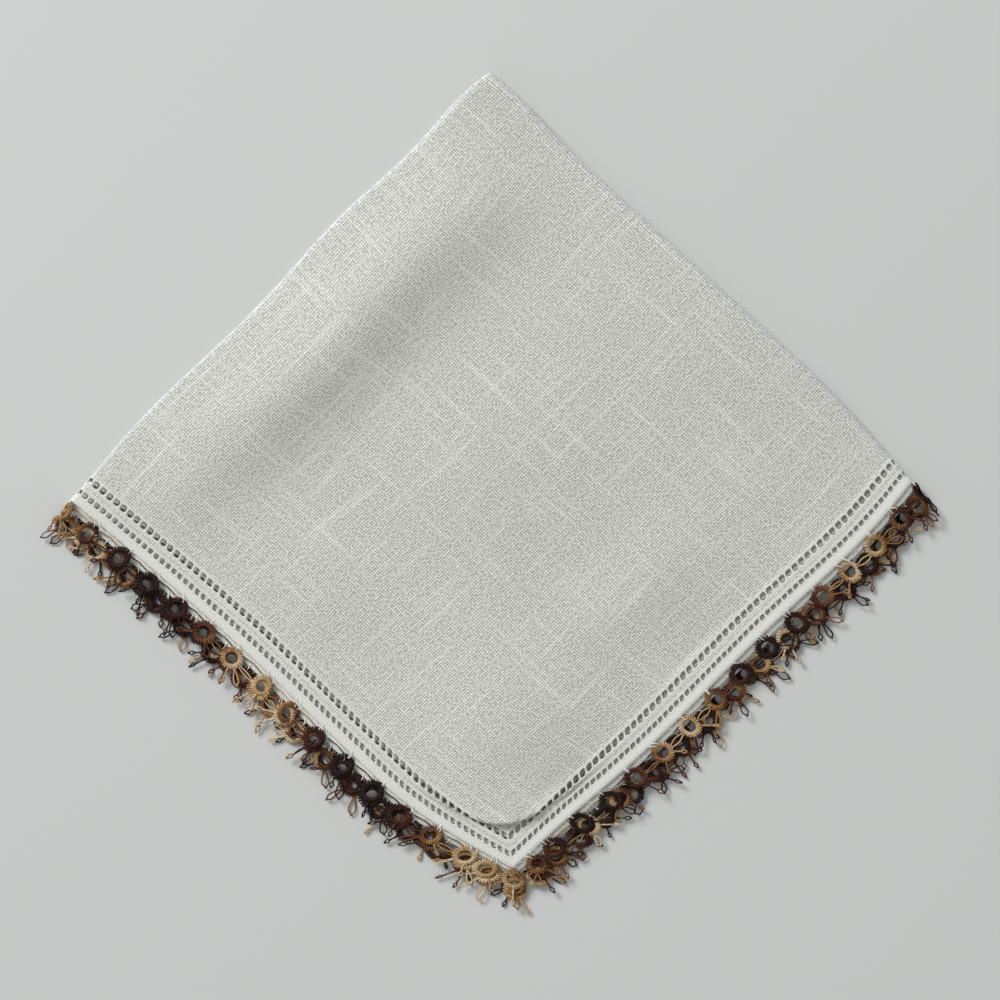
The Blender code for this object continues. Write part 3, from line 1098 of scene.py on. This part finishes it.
class HANDKERCHIEF_OT_field(bpy.types.Operator):
    """Make the plain field of the cloth, inside the hemstitching"""

    bl_idname = "handkerchief.field"
    bl_label = "Plain Field"

    def execute(self, context):
        cloth = context.scene.handkerchief_cloth
        deselect_all()
        first_arc, second_arc = fold_arcs(cloth)
        across_p, across_q = field_lines(cloth, second_arc), field_lines(cloth, first_arc)
        p, q = np.meshgrid(across_p, across_q, indexing="ij")
        rows, columns = p.shape
        faces = [(a, a + columns, a + columns + 1, a + 1)
                 for i in range(rows - 1) for a in range(i * columns, i * columns + columns - 1)]
        points = np.column_stack([p.ravel(), q.ravel()])
        material = linen_material(cloth, context.scene.handkerchief_colours, stitched=False)
        field = sheet_piece(cloth, "linen_field", points, np.zeros(len(points)), faces, material)
        hand_over(field, "linen", "linen_cloth")
        return {"FINISHED"}


class HANDKERCHIEF_OT_border(bpy.types.Operator):
    """Make the rolled hem and its two rows of hemstitched holes"""

    bl_idname = "handkerchief.border"
    bl_label = "Hemstitched Border"

    def execute(self, context):
        cloth = context.scene.handkerchief_cloth
        deselect_all()
        sheet = hemstitched_sheet(cloth)
        material = linen_material(cloth, context.scene.handkerchief_colours, stitched=True)
        points, swell = np.array(sheet.points), np.array(sheet.swell)
        border = sheet_piece(cloth, "hemstitched_border", points, swell, sheet.faces, material)
        inwards = cloth.half_side / MM - np.abs(points).max(axis=1)
        hem = 1 - ease((inwards - 2.1) / 0.4)
        cover = np.maximum(hem, 0.6 * ease((swell - 0.03) / 0.06) * (inwards < 7.9))
        layer = border.data.attributes.new("cover", "FLOAT", "POINT")
        layer.data.foreach_set("value", np.concatenate([cover, cover]).astype(np.float32))
        hand_over(border, "linen", "linen_cloth")
        return {"FINISHED"}


class HANDKERCHIEF_OT_tatting(bpy.types.Operator):
    """Make the tatted rings and picots, and the stitches that hold them to the hem"""

    bl_idname = "handkerchief.tatting"
    bl_label = "Tatted Edging"

    def execute(self, context):
        cloth, lace = context.scene.handkerchief_cloth, context.scene.handkerchief_lace
        deselect_all()
        thread, sewing = tatting_thread_material(), sewing_thread_material()
        middles_by_side = []
        for side, name in enumerate(TATTING):
            work, middles = tatted_side(cloth, lace, side)
            middles_by_side.append(middles)
            piece = thread_piece(cloth, name, work, thread)
            hand_over(piece, "lace_thread", "tatted_edging")
        whipping = whipping_threads(cloth, middles_by_side)
        for name, work in (("whipping_stitches", whipping), ("loose_fibres", loose_fibres(cloth))):
            piece = thread_piece(cloth, name, work, sewing)
            hand_over(piece, "linen")
        return {"FINISHED"}


class HANDKERCHIEF_OT_stage(bpy.types.Operator):
    """Make the pale floor, the soft light and the camera above the cloth"""

    bl_idname = "handkerchief.stage"
    bl_label = "Stage"

    def execute(self, context):
        scene = context.scene
        deselect_all()
        bpy.ops.mesh.primitive_plane_add(size=6.0, location=(0, 0, 0))
        floor = context.active_object
        floor.name = "pale_floor"
        floor.data.materials.append(floor_material(scene.handkerchief_colours))
        floor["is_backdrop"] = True

        world = bpy.data.worlds.new("studio")
        scene.world = world
        world.use_nodes = True
        background = world.node_tree.nodes["Background"]
        background.inputs["Color"].default_value = linear("#F6F7F5")
        background.inputs["Strength"].default_value = 0.50

        bpy.ops.object.light_add(type="AREA", location=(-1.55, 1.75, 1.50))
        window = context.active_object
        window.name = "window_light"
        window.data.size = 1.0
        window.data.energy = 78.0
        window.rotation_euler = (math.radians(-57.3), 0, math.radians(41.5))

        bpy.ops.object.camera_add(location=(2.75 * MM, -1.95 * MM, 0.503))
        camera = context.active_object
        camera.name = "camera_above"
        camera.data.lens = 72.0
        camera.data.sensor_width = 36.0
        scene.camera = camera
        scene.view_settings.view_transform = "Standard"
        return {"FINISHED"}


class HANDKERCHIEF_PT_panel(bpy.types.Panel):
    """Lists the makers of the folded handkerchief"""

    bl_idname = "HANDKERCHIEF_PT_panel"
    bl_label = "Handkerchief"
    bl_space_type = "VIEW_3D"
    bl_region_type = "UI"
    bl_category = "Handkerchief"

    def draw(self, context):
        for name in ("field", "border", "tatting", "stage"):
            self.layout.operator("handkerchief." + name)
        for group in ("cloth", "lace", "colours"):
            settings = getattr(context.scene, "handkerchief_" + group)
            for prop in settings.__annotations__:
                self.layout.prop(settings, prop)


CLASSES = (
    HandkerchiefCloth, HandkerchiefLace, HandkerchiefColours,
    HANDKERCHIEF_OT_field, HANDKERCHIEF_OT_border, HANDKERCHIEF_OT_tatting,
    HANDKERCHIEF_OT_stage, HANDKERCHIEF_PT_panel,
)


def register():
    """Register the classes and give the scene its settings."""
    for cls in CLASSES:
        bpy.utils.register_class(cls)
    bpy.types.Scene.handkerchief_cloth = bpy.props.PointerProperty(type=HandkerchiefCloth)
    bpy.types.Scene.handkerchief_lace = bpy.props.PointerProperty(type=HandkerchiefLace)
    bpy.types.Scene.handkerchief_colours = bpy.props.PointerProperty(type=HandkerchiefColours)


def unregister():
    """Take the settings and the classes away again."""
    del bpy.types.Scene.handkerchief_colours
    del bpy.types.Scene.handkerchief_lace
    del bpy.types.Scene.handkerchief_cloth
    for cls in reversed(CLASSES):
        bpy.utils.unregister_class(cls)


def main():
    register()
    bpy.ops.handkerchief.field()
    bpy.ops.handkerchief.border()
    bpy.ops.handkerchief.tatting()
    bpy.ops.handkerchief.stage()
    boxes = {"cad": CAD_BOX, "visual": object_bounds()}
    {name: [list(corner) for corner in box] for name, box in boxes.items()}


if __name__ == "__main__":
    main()
